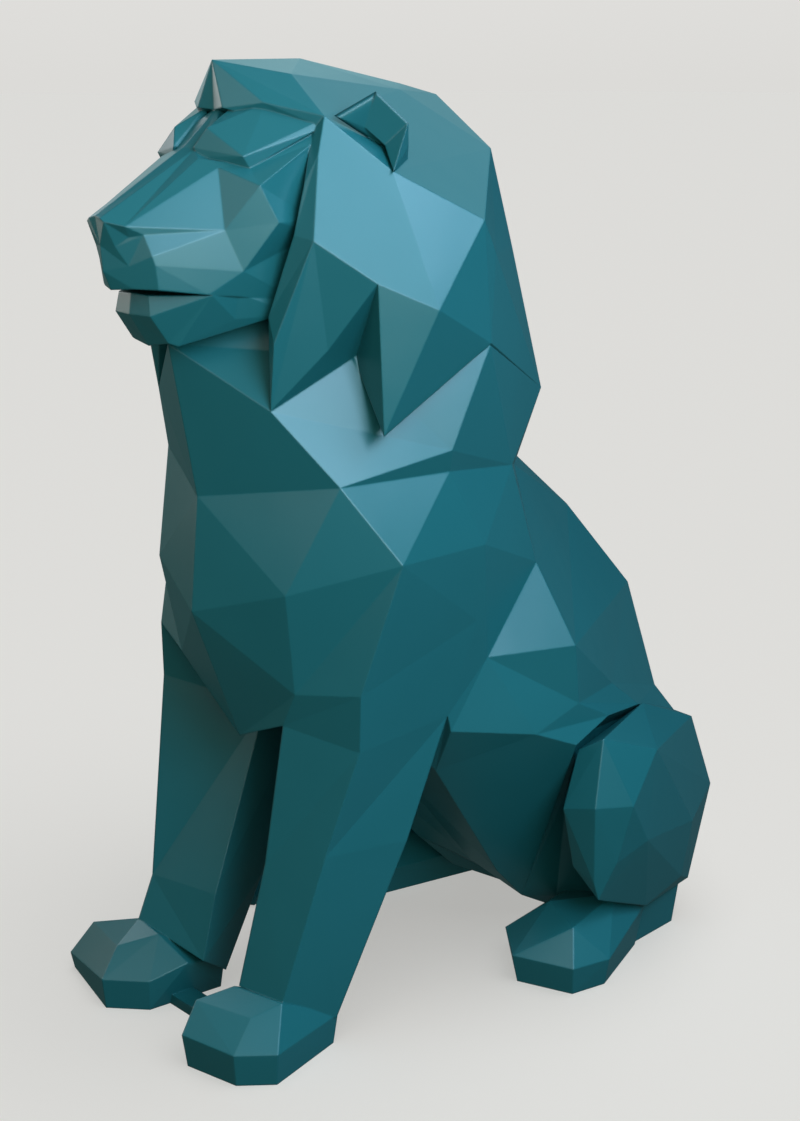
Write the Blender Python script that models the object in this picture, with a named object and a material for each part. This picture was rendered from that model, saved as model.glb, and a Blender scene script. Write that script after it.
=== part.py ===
"""Seated garden lion, cast as one faceted piece.

The lion sits on its haunches and faces -Y. Its left side is +X and +Z is up.
The origin is on the floor, under the middle of the piece's footprint.

Every corner of the figure is given in hundredths of its height, as
(out from the centre plane, back from the front paws, up from the floor).
A corner on the near side has its twin on the far side of the centre plane.
"""
import bpy
import bmesh
from mathutils import Vector

# Overall size in metres, from the floor to the top of the crest.
HEIGHT = 1.20

# Front paws, in hundredths of the height.
PAW_RIM = 3.6          # height of the paw's upright edge
PAW_LIP = 0.5          # how far the rim stands out past the sole
PAW_CROWN = 6.2        # height of the paw's top corner

# Hind feet, in hundredths of the height.
FOOT_RIM = 3.4
FOOT_LIP = 0.8
FOOT_CROWN = 7.0

# Ears: how far the root runs back into the mane.
EAR_ROOT = 6.0

# The low bar that ties the two front paws together.
TIE_THICK = 1.2
TIE_FRONT = 6.0
TIE_BACK = 8.7

# Paint: satin teal.
PAINT = (0.022, 0.150, 0.165, 1.0)
PAINT_ROUGHNESS = 0.38

for old in list(bpy.data.objects):
    bpy.data.objects.remove(old, do_unlink=True)

SHARE = HEIGHT / 100.0


def satin_paint():
    """The one finish of the whole figure."""
    paint = bpy.data.materials.new("satin_teal_paint")
    paint.use_nodes = True
    shader = paint.node_tree.nodes["Principled BSDF"]
    shader.inputs["Base Color"].default_value = PAINT
    shader.inputs["Roughness"].default_value = PAINT_ROUGHNESS
    shader.inputs["Metallic"].default_value = 0.0
    return paint


def new_object(name, bm):
    """Turn a bmesh into an object with its faces pointing out."""
    bmesh.ops.recalc_face_normals(bm, faces=bm.faces)
    mesh = bpy.data.meshes.new(name)
    bm.to_mesh(mesh)
    bm.free()
    obj = bpy.data.objects.new(name, mesh)
    bpy.context.scene.collection.objects.link(obj)
    return obj


def place(point, side=1.0):
    """A corner in metres from its shares, on the near (+1) or far (-1) side."""
    out, back, up = point
    return Vector((side * out, back, up)) * SHARE


def two_sided(name, corners, facets, far=None):
    """A closed form from named corners and the flat facets between them.

    Each facet is drawn on the near side and again on the far side. Corners on
    the centre plane are shared. far holds corners whose far twin stands
    elsewhere than the mirror image.
    """
    bm = bmesh.new()
    near_verts = {}
    far_verts = {}
    for key, point in corners.items():
        near_verts[key] = bm.verts.new(place(point))
        if abs(point[0]) < 1e-6:
            far_verts[key] = near_verts[key]
        elif far and key in far:
            far_verts[key] = bm.verts.new(place(far[key], -1.0))
        else:
            far_verts[key] = bm.verts.new(place(point, -1.0))
    for facet in facets:
        keys = facet.split()
        bm.faces.new([near_verts[key] for key in keys])
        bm.faces.new([far_verts[key] for key in reversed(keys)])
    return new_object(name, bm)


def one_sided(name, corners, facets, side):
    """A closed form that stands on one side only."""
    bm = bmesh.new()
    verts = {key: bm.verts.new(place(point, side)) for key, point in corners.items()}
    for facet in facets:
        bm.faces.new([verts[key] for key in facet.split()])
    return new_object(name, bm)


def boulder(name, points, side):
    """The tightest faceted form around a set of corners."""
    bm = bmesh.new()
    for point in points:
        bm.verts.new(place(point, side))
    bmesh.ops.convex_hull(bm, input=bm.verts)
    loose = [v for v in bm.verts if not v.link_faces]
    bmesh.ops.delete(bm, geom=loose, context="VERTS")
    return new_object(name, bm)


def loft(name, rings, side):
    """A closed form through rings of the same number of corners."""
    bm = bmesh.new()
    rows = [[bm.verts.new(place(point, side)) for point in ring] for ring in rings]
    for low, high in zip(rows, rows[1:]):
        for i in range(len(low)):
            j = (i + 1) % len(low)
            bm.faces.new((low[i], low[j], high[j], high[i]))
    bm.faces.new(rows[0])
    bm.faces.new(rows[-1])
    return new_object(name, bm)


def trunk():
    """Throat, chest, shoulders, front legs, back, flanks, belly and rump."""
    corners = {
        # throat and breastbone, down the centre plane
        "gullet": (0.0, 9.0, 80.0),
        "throat": (0.0, 4.4, 73.4),
        "breast": (0.0, 7.3, 57.9),
        "sternum": (0.0, 6.2, 46.1),
        "keel": (0.0, 11.8, 31.5),
        "armpit_mid": (0.0, 20.0, 31.0),
        # front of the chest
        "bib": (9.3, 9.5, 67.4),
        "notch": (14.3, 13.9, 60.1),
        "pectoral": (10.7, 9.8, 49.3),
        "shoulder": (19.0, 17.8, 52.6),
        "chest_low": (9.7, 11.6, 38.5),
        "elbow": (16.8, 14.2, 39.5),
        # shoulder blade
        "blade_front": (11.6, 17.9, 72.1),
        "blade_back": (17.7, 30.6, 72.6),
        "blade_low": (17.6, 25.6, 62.7),
        "under_blade": (16.8, 26.0, 60.4),
        "shoulder_back": (17.5, 30.4, 52.3),
        "ribs_high": (14.0, 37.7, 59.0),
        "nape_side": (11.0, 45.0, 66.0),
        "neck_core": (6.0, 24.0, 76.0),
        "nape": (0.0, 46.0, 68.0),
        "neck_top": (0.0, 24.0, 82.0),
        # front leg: ridge, outer rear, inner rear and inner front edges
        "knee_r": (16.0, 14.7, 33.3),
        "knee_or": (15.5, 27.2, 34.1),
        "knee_ir": (8.5, 25.0, 32.5),
        "knee_if": (7.5, 11.7, 34.6),
        "arm_or": (16.5, 30.4, 44.0),
        "shin_r": (14.2, 11.6, 22.4),
        "shin_or": (15.0, 22.0, 21.5),
        "shin_ir": (8.0, 20.5, 21.0),
        "shin_if": (7.0, 9.4, 19.8),
        "ankle_r": (12.3, 7.3, 7.0),
        "ankle_or": (12.8, 14.0, 3.0),
        "ankle_ir": (7.0, 13.4, 3.0),
        "ankle_if": (6.4, 6.2, 7.0),
        # ridge of the back and the rump
        "withers": (0.0, 52.1, 56.3),
        "spine": (0.0, 61.5, 48.7),
        "croup": (0.0, 72.4, 37.5),
        "rump": (0.0, 75.5, 22.0),
        "seat_back": (0.0, 73.0, 0.0),
        "withers_side": (5.0, 47.2, 56.3),
        "croup_side": (4.5, 67.9, 38.7),
        "rump_side": (6.0, 69.8, 29.8),
        "hip_back": (10.0, 67.1, 27.0),
        "hip_out": (13.0, 67.2, 24.6),
        "seat_side": (12.5, 66.0, 0.0),
        # flank
        "rib_peak": (14.3, 41.3, 47.9),
        "rib_back": (19.5, 42.2, 39.5),
        "rib_front": (15.7, 32.7, 39.3),
        "loin": (16.8, 51.4, 32.5),
        "fold_top": (19.3, 43.2, 32.7),
        "fold_front": (18.7, 37.2, 30.4),
        "groin": (15.5, 27.7, 32.2),
        "thigh_top": (19.5, 47.9, 30.2),
        "thigh_front": (20.0, 42.2, 28.3),
        "thigh_back": (16.5, 56.5, 28.7),
        "fold_deep_f": (17.5, 44.5, 27.0),
        "fold_deep": (15.5, 50.0, 27.0),
        "fold_deep_b": (14.0, 57.5, 26.5),
        # belly and thigh underside
        "belly_front": (11.6, 29.2, 26.3),
        "belly_mid": (6.8, 43.6, 8.6),
        "belly_low": (6.0, 48.7, 3.6),
        "belly_rear": (7.2, 52.4, 1.6),
        "belly_line": (0.0, 31.0, 25.0),
        "belly_line_low": (0.0, 46.0, 7.0),
        "seat_front": (0.0, 56.0, 0.0),
        "thigh_low": (13.0, 54.0, 0.0),
    }
    facets = [
        # throat and chest
        "gullet throat bib blade_front neck_core",
        "throat breast bib",
        "bib breast notch",
        "breast pectoral notch",
        "breast sternum pectoral",
        "sternum chest_low pectoral",
        "sternum keel chest_low",
        "notch pectoral shoulder",
        "pectoral chest_low shoulder",
        "shoulder chest_low elbow",
        "keel knee_if chest_low",
        "chest_low knee_if elbow",
        "keel armpit_mid knee_if",
        # shoulder
        "bib notch blade_low",
        "bib blade_low blade_front",
        "blade_front blade_low blade_back",
        "notch under_blade blade_low",
        "notch shoulder under_blade",
        "under_blade shoulder shoulder_back",
        "blade_back blade_low ribs_high",
        "blade_back ribs_high nape_side",
        "blade_low under_blade ribs_high",
        "under_blade shoulder_back ribs_high",
        "neck_core blade_front blade_back nape_side",
        "neck_top gullet neck_core",
        "neck_top neck_core nape_side nape",
        # front leg
        "shoulder elbow arm_or shoulder_back",
        "elbow knee_r knee_or arm_or",
        "elbow knee_if knee_r",
        "knee_r knee_if shin_if shin_r",
        "knee_or knee_r shin_r shin_or",
        "knee_ir knee_or shin_or shin_ir",
        "knee_if knee_ir shin_ir shin_if",
        "shin_r shin_if ankle_if ankle_r",
        "shin_or shin_r ankle_r ankle_or",
        "shin_ir shin_or ankle_or ankle_ir",
        "shin_if shin_ir ankle_ir ankle_if",
        "ankle_r ankle_if ankle_ir ankle_or",
        "armpit_mid knee_ir knee_if",
        # back
        "nape nape_side withers_side withers",
        "nape_side ribs_high withers_side",
        "withers withers_side spine",
        "withers_side rib_peak spine",
        "withers_side ribs_high rib_peak",
        "spine croup_side croup",
        "spine rib_peak rib_back croup_side",
        "croup croup_side rump_side rump",
        "rump rump_side hip_back",
        "croup_side loin hip_back rump_side",
        "croup_side rib_back loin",
        "rump hip_back hip_out seat_side seat_back",
        # flank
        "ribs_high shoulder_back rib_peak",
        "shoulder_back arm_or rib_front rib_peak",
        "rib_peak rib_front rib_back",
        "arm_or knee_or rib_front",
        "knee_or groin rib_front",
        "rib_front groin fold_front fold_top",
        "rib_front fold_top rib_back",
        "rib_back fold_top loin",
        # roll above the thigh, and the fold behind it
        "fold_front thigh_front thigh_top fold_top",
        "fold_top thigh_top thigh_back loin",
        "loin thigh_back hip_back",
        "hip_back thigh_back hip_out",
        "thigh_front fold_deep_f fold_deep thigh_top",
        "thigh_top fold_deep fold_deep_b thigh_back",
        "thigh_back fold_deep_b hip_out",
        # thigh front, belly and underside
        "groin belly_front belly_mid belly_low thigh_front fold_front",
        "belly_low belly_rear thigh_low fold_deep_f thigh_front",
        "fold_deep_f thigh_low fold_deep",
        "fold_deep thigh_low seat_side fold_deep_b",
        "fold_deep_b seat_side hip_out",
        "knee_ir armpit_mid belly_line belly_front",
        "knee_or knee_ir belly_front groin",
        "belly_line belly_line_low belly_mid belly_front",
        "belly_line_low seat_front belly_rear belly_low belly_mid",
        "seat_front seat_back seat_side thigh_low belly_rear",
    ]
    far = {
        "elbow": (17.3, 14.2, 39.5),
        "knee_r": (16.7, 13.9, 33.6),
        "knee_if": (5.6, 19.5, 31.5),
        "knee_ir": (6.5, 27.0, 31.0),
        "shin_r": (13.0, 8.9, 12.1),
        "shin_or": (13.6, 15.0, 12.0),
        "shin_if": (3.2, 10.4, 12.6),
        "shin_ir": (4.6, 18.0, 12.5),
        "ankle_r": (12.5, 6.5, 7.6),
        "ankle_or": (12.4, 12.0, 3.0),
        "ankle_ir": (3.8, 12.0, 2.8),
        "ankle_if": (2.4, 8.0, 5.8),
    }
    return two_sided("trunk", corners, facets, far)


def front_paw(name, sole, crown, wrist, side):
    """A chamfered paw: upright sides from the sole to a rim, then a low crown.

    sole lists the floor corners around the paw with the share of the rim's
    height reached there, crown is the paw's top corner and wrist lists the
    corners where it meets the leg.
    """
    mid = [sum(p[k] for p in sole) / len(sole) for k in (0, 1)]
    points = []
    for x, y, share in sole:
        away = Vector((x - mid[0], y - mid[1]))
        away.normalize()
        points.append((x, y, 0.0))
        points.append((x + PAW_LIP * away.x, y + PAW_LIP * away.y, share * PAW_RIM))
    points.append(crown)
    points.extend(wrist)
    return boulder(name, points, side)


def hind_foot(side):
    """Foot of the folded hind leg, with its heel block behind."""
    sole = [(11.0, 42.0), (15.9, 37.9), (22.1, 40.3), (22.9, 44.7), (18.9, 54.5), (8.5, 55.0)]
    mid = (16.5, 46.0)
    points = []
    for x, y in sole:
        away = Vector((x - mid[0], y - mid[1]))
        away.normalize()
        points.append((x, y, 0.0))
        points.append((x + FOOT_LIP * away.x, y + FOOT_LIP * away.y, FOOT_RIM))
    points.append((20.6, 41.8, FOOT_CROWN))
    points.append((14.2, 44.8, FOOT_CROWN))
    points.append((19.3, 50.0, FOOT_CROWN + 1.0))
    points.append((19.5, 55.2, 5.0))
    foot = boulder("hind_foot", points, side)
    heel_sole = [(18.6, 53.5), (17.8, 62.5), (10.5, 62.0), (10.5, 53.5)]
    heel = []
    for x, y in heel_sole:
        heel.append((x, y, 0.0))
        heel.append((x + 0.8 * (x > 15.0), y, 5.2))
    return foot, boulder("heel", heel, side)


def haunch(side):
    """The rounded gem of the folded knee."""
    points = [
        (22.5, 43.7, 29.3), (23.5, 41.6, 22.1), (22.5, 42.9, 12.6), (22.5, 43.7, 10.4),
        (24.0, 51.0, 26.7), (25.5, 45.6, 21.9), (24.5, 49.4, 16.5), (24.0, 44.8, 14.9),
        (16.5, 57.2, 28.7), (15.0, 64.7, 25.7), (16.0, 66.9, 24.6), (16.5, 70.5, 15.2),
        (18.5, 64.8, 12.5), (21.0, 61.6, 14.3), (18.5, 64.4, 5.3), (20.0, 61.2, 7.0),
        (20.5, 54.3, 5.6),
        (19.5, 43.1, 27.4), (19.5, 40.9, 21.1), (19.5, 42.7, 13.8),
        (12.0, 50.0, 20.0), (11.0, 66.0, 12.0), (12.0, 56.0, 3.0), (12.0, 65.0, 2.0),
    ]
    return boulder("haunch", points, side)


def mane():
    """The mane: crest, crown, cheeks, locks and the recess around the face."""
    corners = {
        "tip": (0.0, 10.5, 99.8),
        "top_a": (0.0, 21.2, 100.0),
        "top_b": (0.0, 34.5, 97.6),
        "top_c": (0.0, 39.6, 96.5),
        "crest_a": (4.7, 16.3, 98.5),
        "crest_b": (2.0, 32.7, 97.0),
        "brow_line": (0.0, 10.6, 95.2),
        "forelock": (2.0, 10.1, 95.4),
        "fore_side": (5.5, 12.3, 95.9),
        "temple": (9.8, 16.1, 94.7),
        "rim_a": (10.8, 14.5, 91.3),
        "rim_b": (13.4, 11.7, 83.6),
        "rim_c": (10.5, 9.1, 74.0),
        "lock_tip": (9.3, 9.5, 67.4),
        "in_top": (8.7, 15.5, 93.2),
        "in_a": (10.4, 13.1, 88.6),
        "in_b": (11.0, 11.3, 84.0),
        "in_c": (9.0, 9.7, 76.4),
        "deep_top": (7.0, 18.5, 93.0),
        "deep_a": (8.6, 17.5, 88.6),
        "deep_b": (9.0, 16.5, 84.0),
        "deep_c": (7.0, 14.0, 75.5),
        "deep_mid_top": (0.0, 18.0, 94.0),
        "deep_mid_low": (0.0, 13.0, 73.0),
        "ear_root": (13.9, 21.1, 89.6),
        "cheek": (19.9, 21.6, 77.0),
        "crown_back": (17.0, 30.3, 84.8),
        "back_high": (7.3, 40.6, 91.1),
        "back_side": (16.3, 32.6, 81.4),
        "back_mid": (10.5, 40.7, 81.3),
        "back_low": (11.0, 45.0, 66.0),
        "lock_root": (16.9, 16.5, 79.6),
        "lock_mid": (12.9, 13.7, 73.2),
        "lock_under": (11.3, 18.4, 71.6),
        "lock_two_tip": (16.7, 17.4, 65.0),
        "lock_two_back": (17.7, 30.7, 72.8),
        "lock_two_in": (11.0, 26.0, 69.0),
        "back_ridge_high": (0.0, 43.5, 91.0),
        "back_ridge_mid": (0.0, 46.0, 80.0),
        "back_ridge_low": (0.0, 49.0, 65.0),
        "under_mid": (0.0, 30.0, 70.0),
    }
    facets = [
        # roof and crest
        "tip top_a crest_a",
        "top_a top_b crest_b crest_a",
        "top_b top_c crest_b",
        "tip crest_a temple fore_side",
        "tip fore_side forelock",
        "tip forelock brow_line",
        # crown
        "crest_a crest_b ear_root temple",
        "crest_b top_c back_high crown_back ear_root",
        # cheek
        "temple ear_root cheek lock_root rim_b rim_a",
        "ear_root crown_back cheek",
        "crown_back back_side lock_two_back cheek",
        "crown_back back_high back_side",
        "top_c back_ridge_high back_high",
        "back_high back_mid back_side",
        "back_mid back_low back_side",
        "back_high back_ridge_high back_ridge_mid back_mid",
        "back_mid back_ridge_mid back_ridge_low back_low",
        "back_side back_low lock_two_back",
        # first lock
        "rim_b lock_mid lock_tip rim_c",
        "rim_b lock_root lock_mid",
        "lock_root lock_under lock_tip lock_mid",
        # second lock
        "lock_root cheek lock_two_tip",
        "cheek lock_two_back lock_two_tip",
        "lock_root lock_two_tip lock_two_in lock_under",
        "lock_two_tip lock_two_back lock_two_in",
        "lock_two_back back_low lock_two_in",
        # rim and recess around the face
        "temple rim_a in_a in_top",
        "rim_a rim_b in_b in_a",
        "rim_b rim_c in_c in_b",
        "rim_c lock_tip in_c",
        "forelock fore_side temple in_top",
        "brow_line forelock in_top deep_top deep_mid_top",
        "in_top in_a deep_a deep_top",
        "in_a in_b deep_b deep_a",
        "in_b in_c deep_c deep_b",
        "deep_top deep_a deep_b deep_c deep_mid_low deep_mid_top",
        # inside the neck
        "in_c lock_tip lock_under deep_c",
        "deep_c lock_under lock_two_in under_mid deep_mid_low",
        "under_mid lock_two_in back_low back_ridge_low",
    ]
    return two_sided("mane", corners, facets)


def ear(side):
    """A raised ear: a hollow front between three corners, rooted in the mane."""
    corners = {
        "a": (10.3, 16.9, 94.7),
        "b": (12.0, 20.6, 96.9),
        "c": (13.5, 23.4, 94.0),
        "d": (14.3, 22.7, 91.9),
        "e": (14.3, 20.8, 89.6),
        "f": (12.7, 21.1, 92.0),
        "g": (11.2, 19.9, 93.6),
        "root": (10.5, 20.0 + EAR_ROOT, 90.0),
    }
    facets = [
        "a b g", "b c f g", "c d e f",
        "a g root", "g f root", "f e root",
        "a root b", "b root c", "c root d", "d root e",
    ]
    return one_sided("ear", corners, facets, side)


def face():
    """Skull, muzzle, nose and upper lip."""
    corners = {
        "crown": (0.0, 11.2, 95.6),
        "bridge_mid": (0.0, 6.9, 91.8),
        "nose_mid": (0.0, -3.2, 85.9),
        "bridge": (1.4, 7.1, 91.6),
        "nose_ridge": (0.9, -3.3, 85.7),
        "nose_wing": (1.4, -3.2, 85.4),
        "nose_front": (0.0, -2.8, 83.2),
        "nose_low": (0.0, -2.6, 80.8),
        "lip_front": (0.0, -1.8, 79.0),
        "nostril": (1.6, -2.2, 83.1),
        "nostril_rear": (2.6, -1.3, 84.0),
        "pad_top": (3.6, -0.4, 84.2),
        "pad_front": (2.2, -1.2, 81.3),
        "lip_corner": (2.4, -0.9, 79.2),
        "pad_side": (4.6, -0.2, 82.3),
        "pad_low": (4.8, 0.0, 81.5),
        "lip_side": (4.6, 0.4, 79.2),
        "mouth_end": (6.6, 4.6, 78.6),
        "muzzle_top": (2.8, -1.9, 85.0),
        "muzzle_eye": (3.0, 6.5, 90.9),
        "eye_low": (4.8, 7.4, 90.1),
        "under_eye": (7.2, 6.2, 84.5),
        "cheek_low": (8.2, 7.5, 80.7),
        "cheek": (8.5, 9.4, 88.5),
        "cheek_back": (9.5, 10.8, 85.1),
        "socket_out": (7.0, 9.4, 90.0),
        "temple_back": (9.6, 16.5, 93.2),
        "side_back": (9.6, 17.0, 85.0),
        "jowl_back": (8.6, 14.0, 77.5),
        "mouth_back": (5.0, 12.0, 78.0),
        "throat": (0.0, 10.0, 78.4),
        "skull": (0.0, 19.0, 90.0),
        "socket_in": (2.2, 7.6, 91.2),
        "brow_in": (2.6, 9.0, 93.2),
        "brow_back": (6.0, 12.0, 92.6),
    }
    facets = [
        "nose_mid nose_ridge bridge bridge_mid",
        "nose_ridge nose_wing muzzle_top muzzle_eye bridge",
        "nose_mid nose_front nostril nose_wing nose_ridge",
        "nose_front nose_low pad_front nostril",
        "nose_low lip_front lip_corner pad_front",
        "nose_wing nostril nostril_rear muzzle_top",
        "nostril pad_front pad_side pad_top nostril_rear",
        "pad_front lip_corner lip_side pad_low pad_side",
        "muzzle_top nostril_rear pad_top",
        "muzzle_top pad_top pad_side under_eye",
        "muzzle_top under_eye eye_low muzzle_eye",
        "pad_side pad_low cheek_low under_eye",
        "pad_low lip_side mouth_end cheek_low",
        "eye_low under_eye cheek socket_out",
        "under_eye cheek_low cheek_back",
        "under_eye cheek_back cheek",
        "cheek cheek_back side_back temple_back",
        "socket_out cheek temple_back",
        "cheek_low jowl_back side_back cheek_back",
        "cheek_low mouth_end jowl_back",
        "mouth_end mouth_back jowl_back",
        "lip_front throat mouth_back mouth_end lip_side lip_corner",
        "throat skull side_back jowl_back mouth_back",
        "side_back skull temple_back",
        "bridge_mid bridge brow_in crown",
        "bridge muzzle_eye socket_in brow_in",
        "muzzle_eye eye_low socket_out brow_back brow_in socket_in",
        "crown brow_in brow_back temple_back skull",
        "socket_out temple_back brow_back",
    ]
    return two_sided("face", corners, facets)


def brow(side):
    """The overhanging brow and the forehead behind it."""
    points = [
        (2.6, 7.8, 93.6), (1.6, 6.9, 91.8), (3.4, 7.8, 91.7), (6.9, 8.7, 91.1),
        (7.0, 9.4, 90.0), (4.0, 7.9, 90.3), (2.2, 7.1, 90.9),
        (9.2, 15.6, 93.4), (9.0, 15.8, 94.1), (5.0, 12.9, 95.8), (2.0, 11.0, 95.3),
        (1.0, 12.0, 92.0), (6.0, 14.0, 90.5),
    ]
    return boulder("brow", points, side)


def jaw():
    """Lower lip and chin. A wedge of air is left under the upper lip."""
    corners = {
        "lip_mid": (0.0, 0.4, 78.6),
        "chin_mid": (0.0, 0.1, 76.6),
        "beard_mid": (0.0, 2.2, 73.4),
        "lip": (2.5, 0.7, 78.5),
        "chin": (2.9, 0.5, 76.6),
        "beard": (3.0, 2.4, 73.9),
        "beard_back": (3.6, 3.1, 73.6),
        "mouth_end": (6.7, 4.9, 78.55),
        "jaw": (6.6, 7.6, 76.1),
        "jaw_back": (8.5, 12.5, 76.3),
        "cheek_back": (8.0, 12.5, 80.5),
        "cheek": (7.6, 7.6, 80.5),
        "back_low": (0.0, 10.0, 74.5),
        "back_mid": (0.0, 12.5, 80.5),
        "hinge_mid": (0.0, 7.5, 78.45),
        "hinge": (5.0, 7.0, 78.5),
    }
    facets = [
        "lip_mid chin_mid chin lip",
        "chin_mid beard_mid beard chin",
        "lip chin beard beard_back mouth_end",
        "beard_mid back_low beard_back beard",
        "mouth_end beard_back jaw",
        "jaw beard_back back_low jaw_back",
        "mouth_end jaw cheek",
        "cheek jaw jaw_back cheek_back",
        "lip_mid lip mouth_end hinge hinge_mid",
        "mouth_end cheek hinge",
        "hinge cheek cheek_back back_mid hinge_mid",
        "back_low back_mid cheek_back jaw_back",
    ]
    return two_sided("jaw", corners, facets)


def tail():
    """The tail, lying on the floor around the far haunch."""
    path = [
        (0.0, 69.0, 8.0, 5.0), (9.0, 74.5, 4.6, 4.0), (17.5, 72.0, 3.2, 3.2),
        (23.0, 64.0, 2.8, 2.8), (25.5, 54.0, 2.6, 2.6), (26.0, 44.0, 2.5, 2.5),
        (24.5, 36.5, 2.6, 2.6), (22.5, 31.5, 3.0, 3.0), (19.5, 27.0, 1.2, 1.0),
    ]
    rings = []
    for i, (x, y, z, r) in enumerate(path):
        before = path[max(i - 1, 0)]
        after = path[min(i + 1, len(path) - 1)]
        along = Vector((after[0] - before[0], after[1] - before[1]))
        along.normalize()
        across = Vector((-along.y, along.x))
        ring = []
        for s, t in ((-0.75, -1.0), (0.75, -1.0), (1.0, 0.0), (0.5, 0.95), (-0.5, 0.95), (-1.0, 0.0)):
            ring.append((x + across.x * r * s, y + across.y * r * s, z + r * t))
        rings.append(ring)
    return loft("tail", rings, -1.0)


def paw_tie():
    """The low bar between the front paws."""
    points = []
    for x, y in ((-8.0, TIE_FRONT), (7.0, TIE_FRONT), (7.0, TIE_BACK), (-8.0, TIE_BACK)):
        points.append((x, y, 0.0))
        points.append((x, y, TIE_THICK))
    return boulder("paw_tie", points, 1.0)


def cast_as_one(pieces, name):
    """Union every form into one solid body."""
    body = pieces[0]
    for piece in pieces[1:]:
        join = body.modifiers.new(piece.name, "BOOLEAN")
        join.operation = "UNION"
        join.solver = "EXACT"
        join.object = piece
    graph = bpy.context.evaluated_depsgraph_get()
    mesh = bpy.data.meshes.new_from_object(body.evaluated_get(graph))
    for piece in pieces:
        bpy.data.objects.remove(piece, do_unlink=True)
    mesh.name = name
    return mesh


NEAR_SOLE = [(5.9, -0.2, 1.0), (12.3, 1.2, 1.0), (14.9, 4.4, 1.0),
             (12.4, 13.9, 0.9), (7.0, 14.2, 0.9), (4.0, 5.0, 1.0)]
FAR_SOLE = [(9.9, 0.2, 1.0), (6.3, 3.5, 1.0), (5.4, 12.4, 1.0),
            (11.5, 13.0, 1.0), (18.6, 8.0, 1.0), (20.2, 2.7, 0.5)]
NEAR_WRIST = [(4.6, 2.0, 6.2), (6.4, 5.6, 7.2), (12.6, 7.0, 7.2), (12.5, 14.2, 3.4)]
FAR_WRIST = [(4.4, 7.4, 5.0), (12.6, 6.7, 7.6), (8.4, 6.4, 7.3), (19.8, 5.2, 5.0)]

parts = [trunk(), mane(), face(), jaw()]
for side in (1.0, -1.0):
    parts.append(brow(side))
    parts.append(ear(side))
    parts.append(haunch(side))
    parts.extend(hind_foot(side))
parts.append(front_paw("near_paw", NEAR_SOLE, (11.4, 3.9, PAW_CROWN), NEAR_WRIST, 1.0))
parts.append(front_paw("far_paw", FAR_SOLE, (11.0, 2.6, PAW_CROWN), FAR_WRIST, -1.0))
parts.append(paw_tie())
parts.append(tail())

lion_mesh = cast_as_one(parts, "lion")
lion = bpy.data.objects.new("lion", lion_mesh)
bpy.context.scene.collection.objects.link(lion)

# Set the figure down with its origin under the middle of its box.
xs = [v.co.x for v in lion_mesh.vertices]
ys = [v.co.y for v in lion_mesh.vertices]
zs = [v.co.z for v in lion_mesh.vertices]
shift = Vector(((min(xs) + max(xs)) / 2, (min(ys) + max(ys)) / 2, min(zs)))
for vertex in lion_mesh.vertices:
    vertex.co -= shift

lion_mesh.materials.clear()
lion_mesh.materials.append(satin_paint())
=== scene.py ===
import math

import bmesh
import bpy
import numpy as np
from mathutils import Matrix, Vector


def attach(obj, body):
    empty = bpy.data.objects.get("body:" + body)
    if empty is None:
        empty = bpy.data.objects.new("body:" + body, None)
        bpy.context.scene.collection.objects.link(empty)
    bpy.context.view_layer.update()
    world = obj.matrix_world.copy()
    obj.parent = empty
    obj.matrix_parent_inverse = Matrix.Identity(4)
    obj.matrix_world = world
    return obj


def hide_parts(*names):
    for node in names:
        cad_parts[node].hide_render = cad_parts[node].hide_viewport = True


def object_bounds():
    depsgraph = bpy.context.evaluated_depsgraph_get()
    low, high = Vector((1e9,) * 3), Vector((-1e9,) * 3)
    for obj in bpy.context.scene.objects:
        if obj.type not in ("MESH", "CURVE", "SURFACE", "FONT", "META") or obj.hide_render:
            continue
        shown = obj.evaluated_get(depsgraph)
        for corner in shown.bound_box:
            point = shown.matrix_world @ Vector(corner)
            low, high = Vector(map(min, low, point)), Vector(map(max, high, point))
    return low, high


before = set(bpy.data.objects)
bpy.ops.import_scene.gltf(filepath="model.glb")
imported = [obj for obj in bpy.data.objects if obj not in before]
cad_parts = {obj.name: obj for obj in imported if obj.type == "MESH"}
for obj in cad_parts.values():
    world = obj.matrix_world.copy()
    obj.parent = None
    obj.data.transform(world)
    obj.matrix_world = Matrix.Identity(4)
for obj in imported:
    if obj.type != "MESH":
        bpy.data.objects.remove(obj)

# %% [markdown]
# # A faceted garden lion in satin teal paint
# The real lion is a hollow casting of glass-fibre reinforced resin, 1.2 m tall.
# Its solid is modelled already and comes as a fixed frame, in metres, facing
# -Y. This first cell keeps the solid's box, whose height sets the scale.

cad_box = [list(corner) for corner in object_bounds()]
cad_size = [hi - lo for lo, hi in zip(*cad_box)]
print("the solid's box, metres:", [round(side, 3) for side in cad_size])

# %% [markdown]
# ## The camera
# The photograph was taken from the lion's left front, a little above its brow,
# with a lens of normal length. The camera stands where the photographer stood.
# Its place is given in heights of the lion, from the point on the floor between
# the front paws, so it holds for a lion of any size.

# %% The camera
HEIGHT = cad_size[2]
PAW_LINE = Vector((0.018, -0.4509, 0.0))   # middle of the front paws' line, metres
STAND = Vector((1.4341, -0.9464, 0.9791))  # the camera, in heights
TURN = math.radians(48.0)                  # round the lion, from straight ahead of it
TILT = math.radians(14.94)                 # down from level
SENSOR, LENS = 36.0, 57.8                  # millimetres
FAR_SIGHT = 400.0                          # metres, past the far corner of the floor

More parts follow.
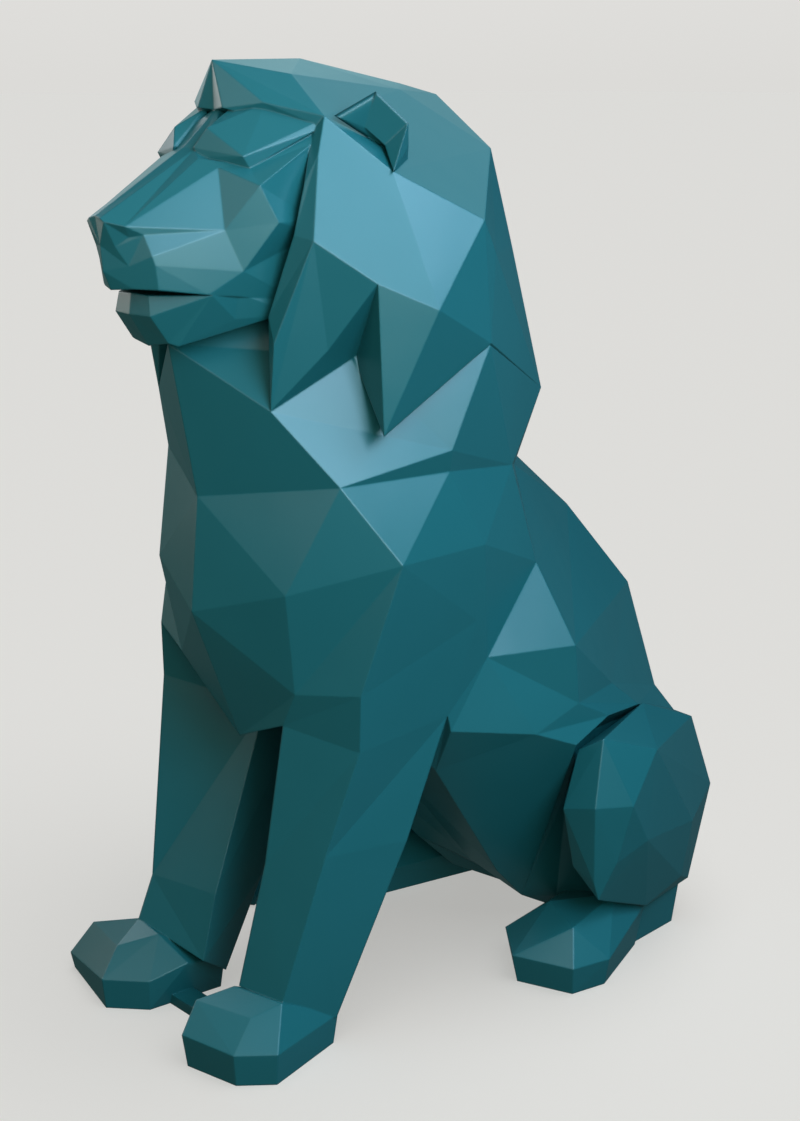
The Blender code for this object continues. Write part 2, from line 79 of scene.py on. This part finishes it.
eye = bpy.data.cameras.new("photographer")
eye.sensor_width = SENSOR
eye.lens = LENS
eye.clip_end = FAR_SIGHT
camera = bpy.data.objects.new("photographer", eye)
camera.location = PAW_LINE + STAND * HEIGHT
camera.rotation_euler = (math.pi / 2 - TILT, 0.0, TURN)
bpy.context.scene.collection.objects.link(camera)
bpy.context.scene.camera = camera
print("the camera stands", round(camera.location.z, 2), "m above the floor")

# %% [markdown]
# ## Colours
# Colours are chosen as sRGB hex values, as on a paint chart. Blender computes
# with linear light, so one function turns one into the other.

# %% From paint chart to linear light
def chart(hex_code):
    """Linear RGBA of an sRGB hex value: each channel is divided by 255, then
    values up to 0.04045 are divided by 12.92 and the others follow the power
    curve ((c + 0.055) / 1.055) to 2.4."""
    srgb = [int(hex_code[i:i + 2], 16) / 255 for i in (1, 3, 5)]
    linear = [c / 12.92 if c <= 0.04045 else ((c + 0.055) / 1.055) ** 2.4 for c in srgb]
    return (*linear, 1.0)


TEALS = chart("#1a595d"), chart("#1e5d61")  # the paint drifts between these two
print("the two teals in linear light:", [[round(c, 3) for c in teal[:3]] for teal in TEALS])

# %% [markdown]
# ## One helper for material nodes
# Every finish below is a small chain of nodes. The helper adds one node, sets
# its sockets and links, and hands it back.

# %% Adding a node
def add_node(tree, kind, settings=None, values=None, links=None):
    """A new node. settings are its own properties, values fill its sockets,
    and links feed a socket from another node's output."""
    node = tree.nodes.new(kind)
    for key, value in (settings or {}).items():
        setattr(node, key, value)
    for key, value in (values or {}).items():
        node.inputs[key].default_value = value
    for key, source in (links or {}).items():
        tree.links.new(source, node.inputs[key])
    return node


print("one helper adds every node")

# %% [markdown]
# ## Satin teal paint on glass-fibre
# The casting is sanded by hand and sprayed with a satin two-pack paint. The
# look could come from one plain shader, but then the facets would read as
# plastic. Three things make them read as paint: a soft sheen, a fine spray
# texture, and the slow waves that sanding leaves, which bend the reflections.
# A Bevel node rounds the edges in the shading alone, as a sanding block does,
# so the mesh keeps its few large facets.

# %% The paint's sizes
WAVE_SCALE = 6.5      # per metre: waves about 154 mm long, the reach of a sanding block
SPRAY_SCALE = 650.0   # per metre: grains about 1.5 mm wide, as a spray gun leaves them
DRIFT_SCALE = 3.0     # per metre: patches about a third of a metre wide
WAVE_DEPTH = 0.004    # metres, used at about a third of its strength
SPRAY_DEPTH = 0.0003  # metres, used at a tenth of its strength
EDGE_RADIUS = 0.003   # metres, an edge broken with sandpaper
SATIN = 0.31          # roughness: gloss paint is near 0.1, matt paint near 0.6
PAINT_IOR = 1.50      # a clear polyurethane binder
print("waves of", round(1000 / WAVE_SCALE), "mm, grains of", round(1000 / SPRAY_SCALE, 1), "mm")

# %% The paint
def satin_paint():
    """One teal with a faint drift, under a sheen that two noises bend: slow
    waves first, then the spray's grain on top of them."""
    finish = bpy.data.materials.new("satin_paint_on_glass_fibre")
    finish.use_nodes = True
    tree = finish.node_tree
    shader = tree.nodes["Principled BSDF"]
    shader.inputs["Roughness"].default_value = SATIN
    shader.inputs["IOR"].default_value = PAINT_IOR
    place = {"Vector": add_node(tree, "ShaderNodeTexCoord").outputs["Object"]}

    waves = add_node(tree, "ShaderNodeTexNoise", links=place,
                     values={"Scale": WAVE_SCALE, "Detail": 2.0, "Roughness": 0.5})
    spray = add_node(tree, "ShaderNodeTexNoise", links=place,
                     values={"Scale": SPRAY_SCALE, "Detail": 2.0, "Roughness": 0.6})
    drift = add_node(tree, "ShaderNodeTexNoise", links=place,
                     values={"Scale": DRIFT_SCALE, "Detail": 3.0, "Roughness": 0.55})

    tint = add_node(tree, "ShaderNodeValToRGB", links={"Fac": drift.outputs["Fac"]})
    for stop, position, teal in zip(tint.color_ramp.elements, (0.3, 0.7), TEALS):
        stop.position, stop.color = position, teal
    tree.links.new(tint.outputs["Color"], shader.inputs["Base Color"])

    soft_edge = add_node(tree, "ShaderNodeBevel", settings={"samples": 6},
                         values={"Radius": EDGE_RADIUS})
    slow = add_node(tree, "ShaderNodeBump", values={"Strength": 0.35, "Distance": WAVE_DEPTH},
                    links={"Height": waves.outputs["Fac"], "Normal": soft_edge.outputs["Normal"]})
    fine = add_node(tree, "ShaderNodeBump", values={"Strength": 0.10, "Distance": SPRAY_DEPTH},
                    links={"Height": spray.outputs["Fac"], "Normal": slow.outputs["Normal"]})
    tree.links.new(fine.outputs["Normal"], shader.inputs["Normal"])
    return finish


paint = satin_paint()
print("the paint is mixed:", paint.name)

# %% [markdown]
# ## A finer head
# On the real lion each ear is a cup with a dark hollow, and the muzzle's side
# is one calm facet above the whisker pad. The solid has the same corners, but
# a few facets tilt a little otherwise and so catch the wrong light. The head
# could be modelled anew, but it is enough to turn those facets: on a copy of
# the solid's mesh, single corners slide along the line towards the camera. The
# outline seen in the photograph stays as it is, and only the facets round each
# corner turn. The far side gets the same slides in the mirror, because the
# head is symmetric.

# %% The slides
SHARE = HEIGHT / 100
SLIDES = {  # corner: (its place from PAW_LINE in hundredths of the height, slide in mm)
    "ear, tip": ((12.0, 20.6, 96.9), 3.8),
    "ear, top rim": ((13.5, 23.4, 94.0), 8.5),
    "ear, back rim": ((14.3, 22.7, 91.9), -13.1),
    "ear, low hollow": ((12.7, 21.1, 92.0), -11.4),
    "ear, high hollow": ((11.2, 19.9, 93.6), -5.3),
    "muzzle, top": ((2.8, -1.9, 85.0), 2.0),
    "whisker pad, top": ((3.6, -0.4, 84.2), 0.9),
    "whisker pad, side": ((4.6, -0.2, 82.3), -1.0),
    "whisker pad, low": ((4.8, 0.0, 81.5), -1.8),
    "whisker pad, front": ((2.2, -1.2, 81.3), 2.0),
    "eye, low": ((4.8, 7.4, 90.1), 2.3),
    "cheek, low": ((8.2, 7.5, 80.7), -2.3),
    "cheek, back": ((9.5, 10.8, 85.1), 10.1),
    "cheek, top": ((8.5, 9.4, 88.5), 12.8),
}
print("the longest slide is", max(abs(slide) for _, slide in SLIDES.values()), "mm")


# %% Sliding corners
def slide_corners(mesh, slides, eye_point):
    """Each corner moves by its slide times the unit vector from the corner to
    eye_point, and its twin beyond the centre plane moves by the mirror image
    of that step. Gives back the largest distance, in metres, between a place
    in the table and the corner found there."""
    mesh.verts.ensure_lookup_table()
    corners = np.array([corner.co[:] for corner in mesh.verts])
    middle, mirror = np.array(PAW_LINE), np.array([-1.0, 1.0, 1.0])
    worst = 0.0
    for place, slide in slides.values():
        near = np.array(place) * SHARE
        step = np.array(eye_point) - middle - near
        step *= slide / 1000 / np.linalg.norm(step)
        for side in (np.ones(3), mirror):
            apart = np.linalg.norm(corners - middle - side * near, axis=1)
            mesh.verts[int(apart.argmin())].co += Vector(side * step)
            worst = max(worst, float(apart.min()))
    return worst


print("ready to slide", 2 * len(SLIDES), "corners")

# %% [markdown]
# ## The painted lion
# The solid's mesh is loose triangles, so the copy has its doubled corners
# merged first: a corner then carries all its facets along when it moves. The
# copy stands for the solid, and the paint goes on it.

# %% The painted lion
ONE_CORNER = 1e-5  # metres: corners nearer to each other than this are one

finer = bmesh.new()
finer.from_mesh(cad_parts["lion"].data)
bmesh.ops.remove_doubles(finer, verts=finer.verts, dist=ONE_CORNER)
miss = slide_corners(finer, SLIDES, camera.location)
lion_mesh = bpy.data.meshes.new("painted_lion")
finer.to_mesh(lion_mesh)
finer.free()
lion_mesh.materials.append(paint)

lion = bpy.data.objects.new("painted_lion", lion_mesh)
bpy.context.scene.collection.objects.link(lion)
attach(lion, "root")
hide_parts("lion")
print(len(lion_mesh.polygons), "triangles, corners found within", round(1000 * miss, 2), "mm")

# %% [markdown]
# ## The floor
# A plain pale floor, wide enough to run out to the horizon on every side. In
# the photograph it is almost free of shadow, as a lit studio floor is, so it
# gives a little light of its own. It stays out of the lion's bounced light and
# reflections, where the dim lower half of the room stands in for it: a floor
# this bright would turn the belly and the paws' undersides pale.

# %% The floor
FLOOR_REACH = 150.0  # metres each way
FLOOR_GLOW = 0.45    # its own light, besides the light that falls on it


def plain_floor(reach, glow):
    """A flat square of side 2 * reach at the height of the lion's soles."""
    mesh = bpy.data.meshes.new("floor")
    corners = [(-reach, -reach, 0), (reach, -reach, 0), (reach, reach, 0), (-reach, reach, 0)]
    mesh.from_pydata(corners, [], [(0, 1, 2, 3)])
    ground = bpy.data.objects.new("floor", mesh)
    bpy.context.scene.collection.objects.link(ground)
    finish = bpy.data.materials.new("matt_floor_paint")
    finish.use_nodes = True
    shader = finish.node_tree.nodes["Principled BSDF"]
    shader.inputs["Base Color"].default_value = chart("#b4b4b2")
    shader.inputs["Roughness"].default_value = 0.7
    shader.inputs["Emission Color"].default_value = chart("#fdfcf8")
    shader.inputs["Emission Strength"].default_value = glow
    mesh.materials.append(finish)
    ground.visible_diffuse = False
    ground.visible_glossy = False
    return ground


floor = plain_floor(FLOOR_REACH, FLOOR_GLOW)
print("the floor reaches", round(floor.dimensions.x / 2), "m each way")

# %% [markdown]
# ## Light
# The light in the photograph is that of a white studio with large bluish
# windows on the lion's left and a warmer room in front of it. Facets that
# mirror a window turn pale blue, and the others keep the paint's own teal. One
# picture of a room wrapped round the scene could do this too, but single soft
# lamps can stand close to the head, so that their light fades towards the
# feet as it does in the photograph. Bluish lamps would tint the floor, so
# light linking gives the lion and the floor each their own.

# %% Who lights what
all_but_floor = bpy.data.collections.new("all_but_floor")
all_but_floor.objects.link(floor)
all_but_floor.collection_objects[0].light_linking.link_state = "EXCLUDE"
floor_alone = bpy.data.collections.new("floor_alone")
floor_alone.objects.link(floor)
print("two sets for the lamps:", all_but_floor.name, "and", floor_alone.name)

# %% The lamps
CHEST = Vector((0.0, -0.10, 0.85))  # the lamps face this point, metres
LAMPS = {  # name: (bearing and height in degrees, width in m, strength, colour, distance in m)
    "front_window": (75.0, 24.0, 1.3, 2.60, "#bae2ff", 2.5),
    "rear_window": (120.0, 45.0, 1.3, 2.35, "#b2e0ff", 2.5),
    "upper_window": (86.0, 45.0, 1.3, 0.80, "#aee8ff", 2.5),
    "low_window": (62.0, 6.0, 1.3, 0.90, "#dcfff6", 2.5),
    "front_wall": (16.0, 24.0, 1.7, 0.95, "#fffcee", 1.7),
    "far_wall": (-62.0, 6.0, 1.9, 0.55, "#fff8ee", 2.5),
    "right_window": (285.0, 24.0, 1.9, 1.00, "#f2f9ff", 2.5),
    "right_wall": (240.0, 24.0, 1.9, 0.38, "#d6fbff", 2.5),
    "rear_wall": (204.0, 45.0, 2.2, 0.45, "#d0fcff", 2.5),
    "ceiling": (0.0, 87.0, 2.2, 0.22, "#ceffee", 2.5),
}


def soft_lamp(name, around, up, width, strength, colour, distance):
    """A round lamp that faces the chest and leaves the floor alone. around is
    its bearing from the front (-Y) towards the lion's left (+X) and up its
    height above level, in degrees. Its power is strength, the light wanted on
    the chest in watts per square metre, times pi and the distance squared."""
    lamp = bpy.data.lights.new(name, "AREA")
    lamp.shape = "DISK"
    lamp.size = width
    lamp.energy = strength * math.pi * distance ** 2
    lamp.color = chart(colour)[:3]
    bearing, rise = math.radians(around), math.radians(up)
    source = Vector((math.sin(bearing) * math.cos(rise), -math.cos(bearing) * math.cos(rise),
                     math.sin(rise)))
    stand = bpy.data.objects.new(name, lamp)
    stand.location = CHEST + distance * source
    stand.rotation_euler = source.to_track_quat("Z", "Y").to_euler()
    stand.light_linking.receiver_collection = all_but_floor
    bpy.context.scene.collection.objects.link(stand)
    return lamp.energy


watts = [soft_lamp(name, *row) for name, row in LAMPS.items()]
print(len(watts), "lamps for the lion,", round(sum(watts)), "W in all")

# %% [markdown]
# ## The floor's own light
# A sun lights the floor evenly out to the horizon, which a lamp nearby can't
# do. Its disc is very wide, so the lion's shadow is soft and faint, and it
# leans a little, so the shadow falls to the lion's right.

# %% The floor's sun
floor_sun = bpy.data.objects.new("floor_sun", bpy.data.lights.new("floor_sun", "SUN"))
floor_sun.data.energy = 2.00
floor_sun.data.angle = math.radians(70.0)
floor_sun.rotation_euler = (math.radians(-6.0), math.radians(14.0), 0.0)
floor_sun.light_linking.receiver_collection = floor_alone
bpy.context.scene.collection.objects.link(floor_sun)
print("one sun for the floor,", round(math.degrees(floor_sun.data.angle)), "degrees wide")

# %% [markdown]
# ## The room
# The lamps are the room's bright parts, so the rest of it is dim: darkest
# above, a little lighter below, where light comes back from the floor. The
# camera itself sees a plain pale backdrop behind the lion, which meets the
# floor in the floor's own tone and grows paler upwards.

# %% A colour by height
world = bpy.data.worlds.new("pale_room")
bpy.context.scene.world = world
world.use_nodes = True
room_tree = world.node_tree
sight = add_node(room_tree, "ShaderNodeTexCoord").outputs["Generated"]
rise = add_node(room_tree, "ShaderNodeSeparateXYZ", links={"Vector": sight}).outputs["Z"]


def by_height(bottom, top, reach):
    """A colour that runs from bottom at level sight to top where the sine of
    the angle above level is reach."""
    ramp = add_node(room_tree, "ShaderNodeValToRGB", links={"Fac": rise})
    level, above = ramp.color_ramp.elements
    level.position, level.color = 0.0, bottom
    above.position, above.color = reach, top
    return ramp.outputs["Color"]


print("the world is", world.name)

# %% The dim room and the backdrop
dim = room_tree.nodes["Background"]
dim_colour = by_height((0.06, 0.10, 0.10, 1.0), (0.02, 0.02, 0.02, 1.0), 0.05)
room_tree.links.new(dim_colour, dim.inputs["Color"])
pale_colour = by_height(chart("#dcdbd8"), chart("#ebeae8"), 0.25)
backdrop = add_node(room_tree, "ShaderNodeBackground", links={"Color": pale_colour})
seen = add_node(room_tree, "ShaderNodeLightPath").outputs["Is Camera Ray"]
either = add_node(room_tree, "ShaderNodeMixShader",
                  links={0: seen, 1: dim.outputs["Background"], 2: backdrop.outputs["Background"]})
room_tree.links.new(either.outputs["Shader"], room_tree.nodes["World Output"].inputs["Surface"])
bpy.context.scene.view_settings.view_transform = "Standard"
print("a dim room behind a pale backdrop")
